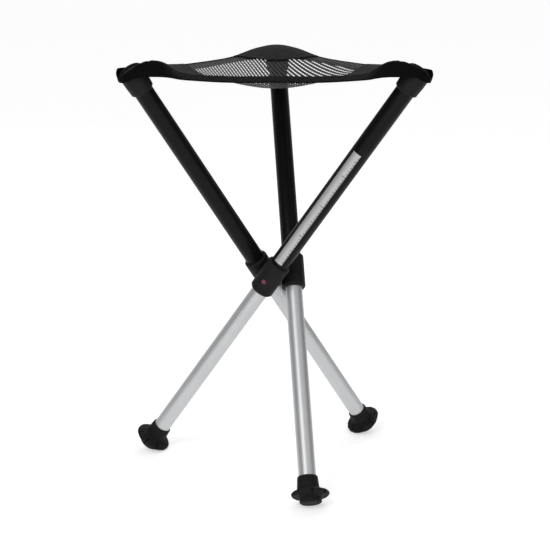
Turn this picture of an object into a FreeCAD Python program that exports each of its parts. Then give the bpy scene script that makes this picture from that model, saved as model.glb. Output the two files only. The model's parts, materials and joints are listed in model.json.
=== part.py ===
"""Collapsible three-legged stool with telescopic legs.

Three legs cross at a small hub. Each leg is an upper tube that turns on a screw in the hub, and a lower
tube that slides up into it. A cloth seat hangs between the tops of the upper tubes.

Lengths are in millimetres and Z is up. The floor is Z = 0, and the origin is on the axis of the hub.
A leg is built upright about its own axis first. Its pivot is at the origin, local X points away from the
hub, and local Z points along the leg towards the seat. Each leg's copy is then leant over and turned.
"""

import FreeCAD, Part
import math
import os

Vector = FreeCAD.Vector

# The legs are named by the corner of the seat that they carry, and turned by this many degrees.
LEG_TURNS = {"rear": 0.0, "left": 120.0, "right": 240.0}
LABELLED_LEG = "right"

# Each side of the seat runs from one leg's corner to the next one's.
SEAT_SIDES = {"front": ("left", "right"), "right": ("right", "rear"), "left": ("rear", "left")}

# Hub and the lean of the legs
LEG_TILT = 35.9
LEG_OFFSET = 23.5
HUB_CORE_INRADIUS = 6.65
HUB_CORE_HEIGHT = 22.0
HUB_CORE_EDGE_CUT = 2.6
PIVOT_GAP = 0.15
WASHER_THICKNESS = 0.6
WASHER_RADIUS = 7.5

# Pivot screws
SCREW_SHANK_RADIUS = 2.0
SCREW_SHANK_LENGTH = 3.7
SCREW_SHOULDER_RADIUS = 2.5
SCREW_HEAD_RADIUS = 5.0
SCREW_HEAD_THICKNESS = 1.5
SCREW_HEAD_SEAT = 1.4
SCREW_SOCKET_WIDTH = 3.0
SCREW_SOCKET_DEPTH = 1.0
PIVOT_CLEARANCE = 0.05

# Tubes
UPPER_TUBE_RADIUS = 12.5
UPPER_TUBE_WALL = 1.0
UPPER_TUBE_BELOW_PIVOT = 13.0
UPPER_TUBE_ABOVE_PIVOT = 345.0
LOWER_TUBE_RADIUS = 11.2
LOWER_TUBE_WALL = 1.2
LOWER_TUBE_ABOVE_PIVOT = 22.0
LOWER_TUBE_BELOW_PIVOT = 296.0
SLIDE_CLEARANCE = 0.12

# Collar at the hub end of an upper tube
COLLAR_RADIUS = 16.0
COLLAR_ABOVE_PIVOT = 28.5
COLLAR_BELOW_PIVOT = 17.0
COLLAR_TOP_ROUND = 2.4
COLLAR_FOOT_ROUND = 1.6
BOSS_RADIUS = 9.0
BUSH_LIP = 1.1
BUSH_WALL = 1.1

# Push button in the collar, and the lock behind it
BUTTON_RADIUS = 3.45
BUTTON_CLEARANCE = 0.3
BUTTON_RECESS = 0.9
BUTTON_FLANGE_RADIUS = 4.4
BUTTON_FLANGE_THICKNESS = 0.7
BUTTON_POCKET_ROOF = 1.8
BUTTON_EDGE_ROUND = 0.5
PLUNGER_RADIUS = 2.9
PLUNGER_FLANGE_RADIUS = 4.0
PLUNGER_FLANGE_THICKNESS = 0.8
PLUNGER_TAIL = 2.0
SPRING_THICKNESS = 0.5
SPRING_WIDTH = 6.0
SPRING_DEPTH = 22.0
GLIDE_RIM = 4.0
GLIDE_SPIGOT = 10.0
GLIDE_BORE_RADIUS = 7.0

# Cap at the seat end of an upper tube
CAP_LIP_AT = 318.5
CAP_END_AT = 350.0
CAP_LIP_RADIUS = 15.2
CAP_RADIUS = 16.1
CAP_TAPER = 15.0
CAP_EDGE_ROUND = 1.2
CAP_SHOULDER = 5.5
SLEEVE_DEPTH = 4.0
SLEEVE_CLEARANCE = 0.25
SLEEVE_THICKNESS = 1.1
SLEEVE_OPENING_RADIUS = 6.5
SLEEVE_OPENING_STRETCH = 8.0

# Foot
FOOT_RIM_AT = 277.0
FOOT_NECK_RADIUS = 13.2
FOOT_NECK_ROUND = 1.0
FOOT_ROOT_RADIUS = 14.4
FOOT_FLANGE_AT = 300.0
FOOT_FLANGE_RADIUS = 24.5
FOOT_FLANGE_THICKNESS = 6.4
FOOT_FLANGE_RISE = 4.6
FOOT_FLANGE_ROUND = 2.2
FOOT_ROOT_ROUND = 2.5
FOOT_PAD_RADIUS = 14.2
FOOT_PAD_ROUND = 2.0
FOOT_PAD_AT = 312.5
FOOT_ECCENTRICITY = 2.0
FOOT_SLITS = 8
FOOT_SLIT_WIDTH = 1.4
FOOT_SLIT_ROOT = 17.5
FOOT_SLIT_FLARE = 2.2
FOOT_NEST_ANGLE = 150.0
FOOT_CLEARANCE = 0.35
FOOT_FLAT_DEPTH = 2.0
FOOT_CORE_FLANGE = 2.6
FOOT_CORE_SPIGOT = 20.0
FOOT_CORE_BORE = 6.5

# Label on one upper tube
LABEL_START = 33.0
LABEL_LENGTH = 186.0
LABEL_ANGLE = 57.0
LABEL_THICKNESS = 0.25
LABEL_GLUE = 0.05

# Seat: heights are counted down from this point on the legs' axes
SEAT_LEVEL_AT = 354.0
SEAT_BELLY_REACH = 102.0
SEAT_BELLY_SAG = 24.0
SEAT_BELLY_FALL = 1.6
SEAT_SOFTNESS = 12.0
SEAT_THICKNESS = 1.2
SEAT_GAP = 0.6
SEAT_CORNER_GAP = 2.2
PATCH_THICKNESS = 1.0
PATCH_GAP = 0.15
PATCH_REACH = 82.0
BAND_WIDTH = 19.0
BAND_WRAP_WIDTH = 11.0
BAND_TIP_WIDTH = 8.0
BAND_THICKNESS = 1.7
BAND_CORNER_AT = 347.0
BAND_WRAP_AT = 346.0
BAND_CORNER_DROPS = {"rear": 12.0, "left": 10.5, "right": 10.5}
BAND_MIDDLE_DROP = 15.5
BAND_BOW = 4.0
BAND_WRAP_STEPS = 6
BAND_TWIST_STEPS = 4
BAND_TIP_GAP = 0.15
PANEL_GRID = 17

# How the band lies along each side, in degrees from level at the side's middle and at its ends. The slope
# changes between these two shares of the way from the middle to the end.
BAND_SLOPES = {"front": (16.0, 90.0), "right": (30.0, 60.0), "left": (30.0, 60.0)}
BAND_TWISTS = {"front": (0.68, 0.96), "right": (0.31, 1.0), "left": (0.31, 1.0)}

# Worked out from the sizes above
tilt = math.radians(LEG_TILT)
boss_face = LEG_OFFSET - HUB_CORE_INRADIUS - WASHER_THICKNESS - PIVOT_GAP
upper_bore = UPPER_TUBE_RADIUS - UPPER_TUBE_WALL
lower_bore = LOWER_TUBE_RADIUS - LOWER_TUBE_WALL
bush_bore = LOWER_TUBE_RADIUS + SLIDE_CLEARANCE
plunger_seat = math.sqrt(lower_bore ** 2 - PLUNGER_FLANGE_RADIUS ** 2) - PIVOT_CLEARANCE
button_face = COLLAR_RADIUS - BUTTON_RECESS
head_floor = boss_face - SCREW_HEAD_SEAT
sleeve_radius = CAP_RADIUS + SLEEVE_CLEARANCE + SLEEVE_THICKNESS
foot_flat_side = math.sin(math.radians(60)) * (LEG_OFFSET + FOOT_ECCENTRICITY) - FOOT_CLEARANCE
hub_height = FOOT_PAD_AT * math.cos(tilt) + FOOT_PAD_RADIUS * math.sin(tilt) - FOOT_FLAT_DEPTH
seat_level = hub_height + SEAT_LEVEL_AT * math.cos(tilt)
corner_radius = math.hypot(LEG_OFFSET, BAND_CORNER_AT * math.sin(tilt))
corner_angle = math.degrees(math.atan2(BAND_CORNER_AT * math.sin(tilt), LEG_OFFSET))
band_radius = sleeve_radius + SEAT_GAP / 2 + BAND_THICKNESS / 2


def turned(x, y, degrees):
    """A plan point turned about the hub's axis."""
    angle = math.radians(degrees)
    return Vector(x * math.cos(angle) - y * math.sin(angle), x * math.sin(angle) + y * math.cos(angle), 0)


def leg_point(leg, x, y, s):
    """Where a point given in a leg's own frame lies in the stool."""
    leant_y = y * math.cos(tilt) + s * math.sin(tilt)
    height = hub_height - y * math.sin(tilt) + s * math.cos(tilt)
    place = turned(LEG_OFFSET + x, leant_y, LEG_TURNS[leg])
    return Vector(place.x, place.y, height)


def leg_direction(leg, x, y, s):
    """A direction given in a leg's own frame, in the stool's frame."""
    return leg_point(leg, x, y, s) - leg_point(leg, 0, 0, 0)


def place_on_leg(shape, leg):
    """A leg's upright part, leant over and carried to its place at the hub."""
    placed = shape.copy()
    placed.rotate(Vector(0, 0, 0), Vector(1, 0, 0), -LEG_TILT)
    placed.translate(Vector(LEG_OFFSET, 0, hub_height))
    placed.rotate(Vector(0, 0, 0), Vector(0, 0, 1), LEG_TURNS[leg])
    return placed


def tube(outer, inner, low, high):
    """A round tube about local Z."""
    body = Part.makeCylinder(outer, high - low, Vector(0, 0, low))
    return body.cut(Part.makeCylinder(inner, high - low, Vector(0, 0, low)))


def across(radius, start, end):
    """A round bar along local X, from start to end."""
    return Part.makeCylinder(radius, end - start, Vector(start, 0, 0), Vector(1, 0, 0))


def revolved(points):
    """The solid of a closed outline of (radius, height) points, turned about local Z."""
    outline = [Vector(r, 0, z) for r, z in points]
    face = Part.Face(Part.makePolygon(outline + outline[:1]))
    return face.revolve(Vector(0, 0, 0), Vector(0, 0, 1), 360)


def turned_about_leg(shape, degrees):
    """A copy of a shape turned about local Z."""
    copy = shape.copy()
    copy.rotate(Vector(0, 0, 0), Vector(0, 0, 1), degrees)
    return copy


def edges_at(shape, radius, height):
    """The round edges of a shape about local Z with this radius at this height."""
    found = []
    for edge in shape.Edges:
        box = edge.BoundBox
        level = abs(box.ZMin - height) < 0.01 and abs(box.ZMax - height) < 0.01
        if level and abs(box.XMax - radius) < 0.01:
            found.append(edge)
    return found


def make_upper_tube():
    body = tube(UPPER_TUBE_RADIUS, upper_bore, -UPPER_TUBE_BELOW_PIVOT, UPPER_TUBE_ABOVE_PIVOT)
    return body.cut(across(BUTTON_FLANGE_RADIUS + BUTTON_CLEARANCE, 0, COLLAR_RADIUS))


def make_collar():
    """The moulded sleeve that holds the upper tube, the pivot and the button."""
    seat = -UPPER_TUBE_BELOW_PIVOT
    body = Part.makeCylinder(
        COLLAR_RADIUS, COLLAR_ABOVE_PIVOT + COLLAR_BELOW_PIVOT, Vector(0, 0, -COLLAR_BELOW_PIVOT)
    )
    body = body.makeFillet(COLLAR_TOP_ROUND, edges_at(body, COLLAR_RADIUS, COLLAR_ABOVE_PIVOT))
    body = body.makeFillet(COLLAR_FOOT_ROUND, edges_at(body, COLLAR_RADIUS, -COLLAR_BELOW_PIVOT))
    body = body.fuse(across(BOSS_RADIUS, -boss_face, -UPPER_TUBE_RADIUS)).removeSplitter()
    bore = Part.makeCylinder(UPPER_TUBE_RADIUS, COLLAR_ABOVE_PIVOT - seat, Vector(0, 0, seat))
    mouth_radius = bush_bore + BUSH_WALL
    mouth = Part.makeCylinder(mouth_radius, COLLAR_BELOW_PIVOT + seat, Vector(0, 0, -COLLAR_BELOW_PIVOT))
    shoulder_hole = across(SCREW_SHOULDER_RADIUS + PIVOT_CLEARANCE, -boss_face, 0)
    head_hole = across(SCREW_HEAD_RADIUS + BUTTON_CLEARANCE, -head_floor, 0)
    button_hole = across(BUTTON_RADIUS + BUTTON_CLEARANCE, 0, COLLAR_RADIUS + 1)
    pocket = across(BUTTON_FLANGE_RADIUS + BUTTON_CLEARANCE, 0, COLLAR_RADIUS - BUTTON_POCKET_ROOF)
    return body.cut([bore, mouth, shoulder_hole, head_hole, button_hole, pocket])


def make_guide_bush():
    """The bush that closes the collar's foot and guides the lower tube."""
    foot = -COLLAR_BELOW_PIVOT
    body = tube(bush_bore + BUSH_WALL, bush_bore, foot, -UPPER_TUBE_BELOW_PIVOT)
    lip = tube(COLLAR_RADIUS - COLLAR_FOOT_ROUND, bush_bore, foot - BUSH_LIP, foot)
    return body.fuse(lip).removeSplitter()


def make_button():
    """The push button, whose flange is trapped between the collar and the upper tube."""
    roof = COLLAR_RADIUS - BUTTON_POCKET_ROOF - PIVOT_CLEARANCE
    stem = across(BUTTON_RADIUS, roof - BUTTON_FLANGE_THICKNESS, button_face)
    rim = [edge for edge in stem.Edges if abs(edge.BoundBox.XMin - button_face) < 0.01]
    stem = stem.makeFillet(BUTTON_EDGE_ROUND, rim)
    flange = across(BUTTON_FLANGE_RADIUS, roof - BUTTON_FLANGE_THICKNESS, roof)
    return stem.fuse(flange).removeSplitter()


def make_lower_tube():
    body = tube(LOWER_TUBE_RADIUS, lower_bore, -LOWER_TUBE_BELOW_PIVOT, LOWER_TUBE_ABOVE_PIVOT)
    return body.cut(across(PLUNGER_RADIUS + SLIDE_CLEARANCE, 0, COLLAR_RADIUS))


def make_glide_plug():
    """The plug in the lower tube's top, whose rim glides in the upper tube."""
    top = LOWER_TUBE_ABOVE_PIVOT
    rim = tube(upper_bore - SLIDE_CLEARANCE, GLIDE_BORE_RADIUS, top, top + GLIDE_RIM)
    spigot = tube(lower_bore, GLIDE_BORE_RADIUS, top - GLIDE_SPIGOT, top)
    return rim.fuse(spigot).removeSplitter()


def make_lock_plunger():
    """The lock pin, drawn as the button presses it: its dome is inside the lower tube's surface."""
    back = plunger_seat - PLUNGER_FLANGE_THICKNESS
    pin = across(PLUNGER_RADIUS, plunger_seat, COLLAR_RADIUS).common(Part.makeSphere(LOWER_TUBE_RADIUS))
    flange = across(PLUNGER_FLANGE_RADIUS, back, plunger_seat)
    tail = across(PLUNGER_TAIL, back - PLUNGER_TAIL, back)
    return pin.fuse([flange, tail]).removeSplitter()


def make_lock_spring():
    """A U-shaped leaf spring that pushes the plunger outwards from the far wall of the lower tube."""
    front = plunger_seat - PLUNGER_FLANGE_THICKNESS
    back = -math.sqrt(lower_bore ** 2 - (SPRING_WIDTH / 2) ** 2) + PIVOT_CLEARANCE
    radius = (front - back) / 2
    centre = Vector((front + back) / 2, -SPRING_WIDTH / 2, -SPRING_DEPTH)
    upright = SPRING_DEPTH + PLUNGER_FLANGE_RADIUS
    ring = Part.makeCylinder(radius, SPRING_WIDTH, centre, Vector(0, 1, 0))
    ring = ring.cut(Part.makeCylinder(radius - SPRING_THICKNESS, SPRING_WIDTH, centre, Vector(0, 1, 0)))
    above = Part.makeBox(2 * radius, SPRING_WIDTH, radius, Vector(back, -SPRING_WIDTH / 2, -SPRING_DEPTH))
    bend = ring.cut(above)
    legs = [
        Part.makeBox(SPRING_THICKNESS, SPRING_WIDTH, upright, Vector(x, -SPRING_WIDTH / 2, -SPRING_DEPTH))
        for x in (back, front - SPRING_THICKNESS)
    ]
    spring = bend.fuse(legs).removeSplitter()
    return spring.cut(across(PLUNGER_TAIL + PIVOT_CLEARANCE, 0, front))


def post(radius, low, end, shoulder):
    """A round post along local Z from low to end, with its end's edge rounded."""
    bend = end - shoulder
    inner = radius - shoulder
    half = shoulder * math.sqrt(0.5)
    edges = [
        Part.makeLine(Vector(0, 0, low), Vector(radius, 0, low)),
        Part.makeLine(Vector(radius, 0, low), Vector(radius, 0, bend)),
        Part.Arc(Vector(radius, 0, bend), Vector(inner + half, 0, bend + half), Vector(inner, 0, end)).toShape(),
        Part.makeLine(Vector(inner, 0, end), Vector(0, 0, end)),
        Part.makeLine(Vector(0, 0, end), Vector(0, 0, low)),
    ]
    return Part.Face(Part.Wire(edges)).revolve(Vector(0, 0, 0), Vector(0, 0, 1), 360)


def make_cap():
    """The moulded end of the upper tube, which widens from its lip to a shouldered end."""
    wide_at = CAP_LIP_AT + CAP_TAPER
    skirt = revolved([
        (0, CAP_LIP_AT),
        (CAP_LIP_RADIUS - CAP_EDGE_ROUND, CAP_LIP_AT),
        (CAP_LIP_RADIUS, CAP_LIP_AT + CAP_EDGE_ROUND),
        (CAP_RADIUS, wide_at),
        (0, wide_at),
    ])
    body = skirt.fuse(post(CAP_RADIUS, wide_at, CAP_END_AT, CAP_SHOULDER)).removeSplitter()
    depth = UPPER_TUBE_ABOVE_PIVOT - CAP_LIP_AT
    return body.cut(Part.makeCylinder(UPPER_TUBE_RADIUS, depth, Vector(0, 0, CAP_LIP_AT)))


def make_sleeve():
    """The sewn hood at a corner of the seat, with an oval opening where the cap's end shows."""
    low = CAP_END_AT - SLEEVE_DEPTH
    inside = CAP_END_AT + SLEEVE_CLEARANCE
    shoulder = CAP_SHOULDER + SLEEVE_CLEARANCE
    outer = post(sleeve_radius, CAP_LIP_AT, inside + SLEEVE_THICKNESS, shoulder + SLEEVE_THICKNESS)
    hood = outer.cut(post(CAP_RADIUS + SLEEVE_CLEARANCE, CAP_LIP_AT, inside, shoulder))
    hood = hood.cut(Part.makeCylinder(band_radius, low - CAP_LIP_AT, Vector(0, 0, CAP_LIP_AT)))
    half = SLEEVE_OPENING_STRETCH / 2
    width = 2 * SLEEVE_OPENING_RADIUS
    opening = [
        Part.makeCylinder(SLEEVE_OPENING_RADIUS, CAP_END_AT, Vector(0, -half, low)),
        Part.makeCylinder(SLEEVE_OPENING_RADIUS, CAP_END_AT, Vector(0, half, low)),
        Part.makeBox(width, 2 * half, CAP_END_AT, Vector(-width / 2, -half, low)),
    ]
    return hood.cut(opening)


def make_foot_core():
    """The hard plug in the lower tube's foot, which the rubber foot is moulded over."""
    low = -LOWER_TUBE_BELOW_PIVOT
    flange = tube(LOWER_TUBE_RADIUS, FOOT_CORE_BORE, low - FOOT_CORE_FLANGE, low)
    spigot = tube(lower_bore, FOOT_CORE_BORE, low, low + FOOT_CORE_SPIGOT)
    return flange.fuse(spigot).removeSplitter()


def make_foot():
    """The rubber foot: a wide slit flange, off centre, with two flat sides where folded feet meet."""
    rim = -FOOT_RIM_AT
    top = -FOOT_FLANGE_AT + FOOT_FLANGE_THICKNESS / 2
    bottom = -FOOT_FLANGE_AT - FOOT_FLANGE_THICKNESS / 2
    edge = FOOT_FLANGE_ROUND
    root = top + FOOT_FLANGE_RISE
    neck = revolved([
        (0, bottom),
        (FOOT_ROOT_RADIUS, bottom),
        (FOOT_ROOT_RADIUS, root),
        (FOOT_NECK_RADIUS, rim - FOOT_NECK_ROUND),
        (FOOT_NECK_RADIUS - FOOT_NECK_ROUND, rim),
        (0, rim),
    ])
    disc = revolved([
        (0, -FOOT_PAD_AT),
        (FOOT_PAD_RADIUS - 2 * FOOT_PAD_ROUND, -FOOT_PAD_AT),
        (FOOT_PAD_RADIUS - FOOT_PAD_ROUND, -FOOT_PAD_AT + FOOT_PAD_ROUND / 4),
        (FOOT_PAD_RADIUS, -FOOT_PAD_AT + FOOT_PAD_ROUND),
        (FOOT_PAD_RADIUS, bottom - edge),
        (FOOT_PAD_RADIUS + edge, bottom),
        (FOOT_FLANGE_RADIUS - edge, bottom),
        (FOOT_FLANGE_RADIUS, bottom + edge),
        (FOOT_FLANGE_RADIUS, top - edge),
        (FOOT_FLANGE_RADIUS - edge, top),
        (FOOT_ROOT_RADIUS + FOOT_ROOT_ROUND, root - FOOT_ROOT_ROUND),
        (FOOT_ROOT_RADIUS - FOOT_ROOT_ROUND, root),
        (0, root),
    ])
    height = root - bottom + 2 * edge
    slit_corner = Vector(FOOT_SLIT_ROOT, -FOOT_SLIT_WIDTH / 2, bottom - edge)
    slit = Part.makeBox(FOOT_FLANGE_RADIUS, FOOT_SLIT_WIDTH, height, slit_corner)
    flare_at = Vector(FOOT_FLANGE_RADIUS + FOOT_SLIT_FLARE / 2, 0, bottom - edge)
    slit = slit.fuse(Part.makeCylinder(FOOT_SLIT_FLARE, height, flare_at))
    disc = disc.cut([turned_about_leg(slit, 360 * index / FOOT_SLITS) for index in range(FOOT_SLITS)])
    width = 4 * FOOT_FLANGE_RADIUS
    beyond = Part.makeBox(width, width, width, Vector(foot_flat_side, -width / 2, -FOOT_PAD_AT - width / 2))
    disc = disc.cut([turned_about_leg(beyond, angle) for angle in (FOOT_NEST_ANGLE, -FOOT_NEST_ANGLE)])
    disc.translate(Vector(FOOT_ECCENTRICITY, 0, 0))
    body = disc.fuse(neck).removeSplitter()
    core_low = -LOWER_TUBE_BELOW_PIVOT - FOOT_CORE_FLANGE
    return body.cut(Part.makeCylinder(LOWER_TUBE_RADIUS, rim - core_low, Vector(0, 0, core_low)))


def cut_at_floor(shape):
    """Cuts a placed foot flat where it stands on the floor."""
    box = shape.BoundBox
    low = Vector(box.XMin, box.YMin, 2 * box.ZMin)
    return shape.cut(Part.makeBox(box.XLength, box.YLength, -2 * box.ZMin, low))


def make_label():
    """A thin foil strip on the tube's outer side."""
    start = Vector(0, 0, LABEL_START)
    up = Vector(0, 0, 1)
    inner = UPPER_TUBE_RADIUS + LABEL_GLUE
    strip = Part.makeCylinder(inner + LABEL_THICKNESS, LABEL_LENGTH, start, up, LABEL_ANGLE)
    core = Part.makeCylinder(inner, LABEL_LENGTH, start)
    return turned_about_leg(strip, -LABEL_ANGLE / 2).cut(core)


def make_hub_core():
    """The three-sided block that the screws of the three legs go into."""
    corner = HUB_CORE_INRADIUS * 2
    points = [turned(corner, 0, 60 + 120 * i) for i in range(3)]
    low = Vector(0, 0, hub_height - HUB_CORE_HEIGHT / 2)
    outline = [p + low for p in points]
    body = Part.Face(Part.makePolygon(outline + outline[:1])).extrude(Vector(0, 0, HUB_CORE_HEIGHT))
    body = body.common(Part.makeCylinder(corner - HUB_CORE_EDGE_CUT, HUB_CORE_HEIGHT, low))
    for degrees in LEG_TURNS.values():
        way = turned(1, 0, degrees)
        start = way * (HUB_CORE_INRADIUS - SCREW_SHANK_LENGTH) + Vector(0, 0, hub_height)
        body = body.cut(Part.makeCylinder(SCREW_SHANK_RADIUS, SCREW_SHANK_LENGTH, start, way))
    return body


def make_pivot_screws():
    """One shoulder screw for each leg, with its head sunk in the collar's bore."""
    face = HUB_CORE_INRADIUS
    head_at = LEG_OFFSET - head_floor + PIVOT_CLEARANCE
    shank = across(SCREW_SHANK_RADIUS, face - SCREW_SHANK_LENGTH, face)
    shoulder = across(SCREW_SHOULDER_RADIUS, face, head_at)
    head = across(SCREW_HEAD_RADIUS, head_at, head_at + SCREW_HEAD_THICKNESS)
    socket_at = head_at + SCREW_HEAD_THICKNESS - SCREW_SOCKET_DEPTH
    corners = []
    for index in range(7):
        angle = math.radians(60 * index)
        radius = SCREW_SOCKET_WIDTH / 2 / math.cos(math.radians(30))
        corners.append(Vector(socket_at, radius * math.cos(angle), radius * math.sin(angle)))
    socket = Part.Face(Part.makePolygon(corners)).extrude(Vector(SCREW_HEAD_THICKNESS, 0, 0))
    screw = shank.fuse([shoulder, head]).removeSplitter().cut(socket)
    return copies_at_pivots(screw)


def make_pivot_washers():
    """One thin washer between the hub and each collar."""
    ring = across(WASHER_RADIUS, HUB_CORE_INRADIUS, HUB_CORE_INRADIUS + WASHER_THICKNESS)
    hole = across(SCREW_SHOULDER_RADIUS, HUB_CORE_INRADIUS, HUB_CORE_INRADIUS + WASHER_THICKNESS)
    return copies_at_pivots(ring.cut(hole))


def copies_at_pivots(shape):
    """A shape along X at the hub, repeated at the three pivots."""
    made = []
    for degrees in LEG_TURNS.values():
        copy = shape.copy()
        copy.rotate(Vector(0, 0, 0), Vector(0, 0, 1), degrees)
        copy.translate(Vector(0, 0, hub_height))
        made.append(copy)
    return Part.makeCompound(made)


def smooth(value, start, end):
    """Rises smoothly from 0 at start to 1 at end."""
    t = min(1.0, max(0.0, (value - start) / (end - start)))
    return t * t * (3 - 2 * t)


def corner_point(leg):
    """Where a leg's axis carries the seat's corner, seen from above."""
    return turned(corner_radius, 0, LEG_TURNS[leg] + corner_angle)


def side_frame(side):
    """(outward direction, direction along, both level) of a side of the seat."""
    first, last = SEAT_SIDES[side]
    along = corner_point(last) - corner_point(first)
    along = along * (1 / along.Length)
    return Vector(along.y, -along.x, 0), along


def side_half(side):
    """Half of the length of a side's band between its ends' turns round the caps."""
    first, last = SEAT_SIDES[side]
    return (corner_point(last) - corner_point(first)).Length / 2 - band_radius


def band_station(side, t):
    """(distance of the lower edge from the hub's axis, its height, the band's slope) t along a side."""
    share = abs(t) / side_half(side)
    first, last = BAND_SLOPES[side]
    slope = math.radians(first + (last - first) * smooth(share, *BAND_TWISTS[side]))
    climb = smooth(share, 0, 1)
    corner = SEAT_SIDES[side][1 if t > 0 else 0]
    drop = BAND_MIDDLE_DROP + (BAND_CORNER_DROPS[corner] - BAND_MIDDLE_DROP) * climb
    chord = side_frame(side)[0].dot(corner_point(corner))
    distance = chord + band_radius - BAND_BOW * (1 - climb)
    return distance, seat_level - drop, slope


def band_stops(side):
    """Where the straight part of a band has a section, from the middle of a side outwards."""
    start, end = BAND_TWISTS[side]
    step = (end - start) / BAND_TWIST_STEPS
    shares = [start / 2] + [start + step * i for i in range(BAND_TWIST_STEPS + 1)]
    if end < 1:
        shares.append(1)
    outer = [share * side_half(side) for share in shares]
    return [-t for t in outer[::-1]] + [0] + outer


def band_section(centre, width_way, face_way, width, gap):
    """The four corners of a band's cross-section, or of the room it takes with a gap round it."""
    w = width_way * ((width / 2 + gap) / width_way.Length)
    n = face_way * ((BAND_THICKNESS / 2 + gap) / face_way.Length)
    return [centre - w - n, centre + w - n, centre + w + n, centre - w + n]


def ribbon(sections):
    """The solid through a row of four-cornered sections, smooth along its length."""
    middles = [sum(corners, Vector()) * 0.25 for corners in sections]
    lengths = [0.0]
    for a, b in zip(middles, middles[1:]):
        lengths.append(lengths[-1] + (b - a).Length)
    edges = []
    for corner in range(4):
        curve = Part.BSplineCurve()
        curve.interpolate(Points=[section[corner] for section in sections], Parameters=lengths)
        edges.append(curve.toShape())
    faces = [Part.makeRuledSurface(edges[i], edges[(i + 1) % 4]) for i in range(4)]
    for corners in (sections[0], sections[-1]):
        faces.append(Part.Face(Part.makePolygon(corners + corners[:1])))
    shell = Part.makeShell(faces)
    shell.sewShape()
    body = Part.makeSolid(shell)
    if body.Volume < 0:
        body.reverse()
    return body


def wrap_sections(leg, outward, gap):
    """The sections of a band's end, from the tip of a corner round the cap's sleeve to the side."""
    sections = []
    facing_x = outward.dot(leg_direction(leg, 1, 0, 0))
    facing_y = outward.dot(leg_direction(leg, 0, 1, 0))
    end = math.atan2(facing_x, facing_y)
    lower = BAND_WRAP_AT - (BAND_CORNER_DROPS[leg] - min(BAND_CORNER_DROPS.values())) / math.cos(tilt)
    for step in range(BAND_WRAP_STEPS + 1):
        share = max(step / BAND_WRAP_STEPS, BAND_TIP_GAP / band_radius / abs(end))
        angle = end * share
        x = band_radius * math.sin(angle)
        y = band_radius * math.cos(angle)
        width = BAND_TIP_WIDTH + (BAND_WRAP_WIDTH - BAND_TIP_WIDTH) * smooth(share, 0, 1)
        centre = leg_point(leg, x, y, lower + width / 2)
        width_way = leg_direction(leg, 0, 0, 1)
        sections.append(band_section(centre, width_way, leg_direction(leg, x, y, 0), width, gap))
    return sections


def make_band(side, gap=0.0):
    """The webbing along one side of the seat: upright at the caps, and laid over between them."""
    outward, along = side_frame(side)
    first, last = SEAT_SIDES[side]
    straight = []
    for t in band_stops(side):
        distance, height, slope = band_station(side, t)
        width_way = outward * -math.cos(slope) + Vector(0, 0, math.sin(slope))
        face_way = outward * math.sin(slope) + Vector(0, 0, math.cos(slope))
        lower = outward * distance + along * t + Vector(0, 0, height)
        centre = lower + width_way * (BAND_WIDTH / 2)
        straight.append(band_section(centre, width_way, face_way, BAND_WIDTH, gap))
    sections = wrap_sections(first, outward, gap) + straight + wrap_sections(last, outward, gap)[::-1]
    return ribbon(sections)


def seat_height(x, y):
    """Height of the hanging seat over a plan point: level with the bands' inner edges, and slack between."""
    level = 0.0
    total = 0.0
    slack = 27.0
    for side in SEAT_SIDES:
        outward, along = side_frame(side)
        across = outward.x * x + outward.y * y
        distance, height, slope = band_station(side, along.x * x + along.y * y)
        inside = distance - BAND_WIDTH * math.cos(slope) - across
        weight = 1 / max(inside, SEAT_SOFTNESS) ** 2
        level += weight * (height + BAND_WIDTH * math.sin(slope))
        total += weight
        slack *= max(0.0, 1 - across / SEAT_BELLY_REACH) / 3
    return level / total - SEAT_BELLY_SAG * slack ** SEAT_BELLY_FALL


def seat_surface(lift):
    """The hanging surface of the seat as one smooth face."""
    span = 2 * corner_radius
    rows = []
    for i in range(PANEL_GRID):
        x = span * (i / (PANEL_GRID - 1) - 0.5)
        ys = [span * (j / (PANEL_GRID - 1) - 0.5) for j in range(PANEL_GRID)]
        rows.append([Vector(x, y, seat_height(x, y) + lift) for y in ys])
    surface = Part.BSplineSurface()
    surface.interpolate(rows)
    return surface.toShape()


def panel_outline(inset):
    """The seat panel's outline seen from above, as a closed wire at Z = 0."""
    edges = []
    for side in SEAT_SIDES:
        outward, along = side_frame(side)
        points = []
        for t in band_stops(side):
            distance, _, slope = band_station(side, t)
            inner = distance - BAND_WIDTH * math.cos(slope) - BAND_THICKNESS / 2 - inset
            points.append(outward * inner + along * t)
        curve = Part.BSplineCurve()
        curve.interpolate(points)
        edges.append((points, curve.toShape()))
    joined = []
    for index, (points, edge) in enumerate(edges):
        joined.append(edge)
        following = edges[(index + 1) % len(edges)][0]
        joined.append(Part.makeLine(points[-1], following[0]))
    return Part.Wire(Part.__sortEdges__(joined))


def plan_prism(wire):
    """An upright prism on a plan outline that reaches past the seat's whole height."""
    face = Part.Face(wire)
    face.translate(Vector(0, 0, hub_height))
    return face.extrude(Vector(0, 0, seat_level))


def without_edges(cloth):
    """A cloth's main piece, cut clear of the bands and of the three caps' sleeves."""
    length = sleeve_radius * 4
    bar = Part.makeCylinder(sleeve_radius + SEAT_CORNER_GAP, length, Vector(0, 0, CAP_END_AT - length / 2))
    rooms = [place_on_leg(bar, leg) for leg in LEG_TURNS]
    rooms += [make_band(side, SEAT_GAP / 2) for side in SEAT_SIDES]
    return max(cloth.cut(rooms).Solids, key=lambda solid: solid.Volume)


def make_seat_panel():
    """The see-through cloth, hanging between the bands."""
    slab = seat_surface(-SEAT_THICKNESS).extrude(Vector(0, 0, SEAT_THICKNESS))
    return without_edges(slab.common(plan_prism(panel_outline(SEAT_GAP))))


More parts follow.
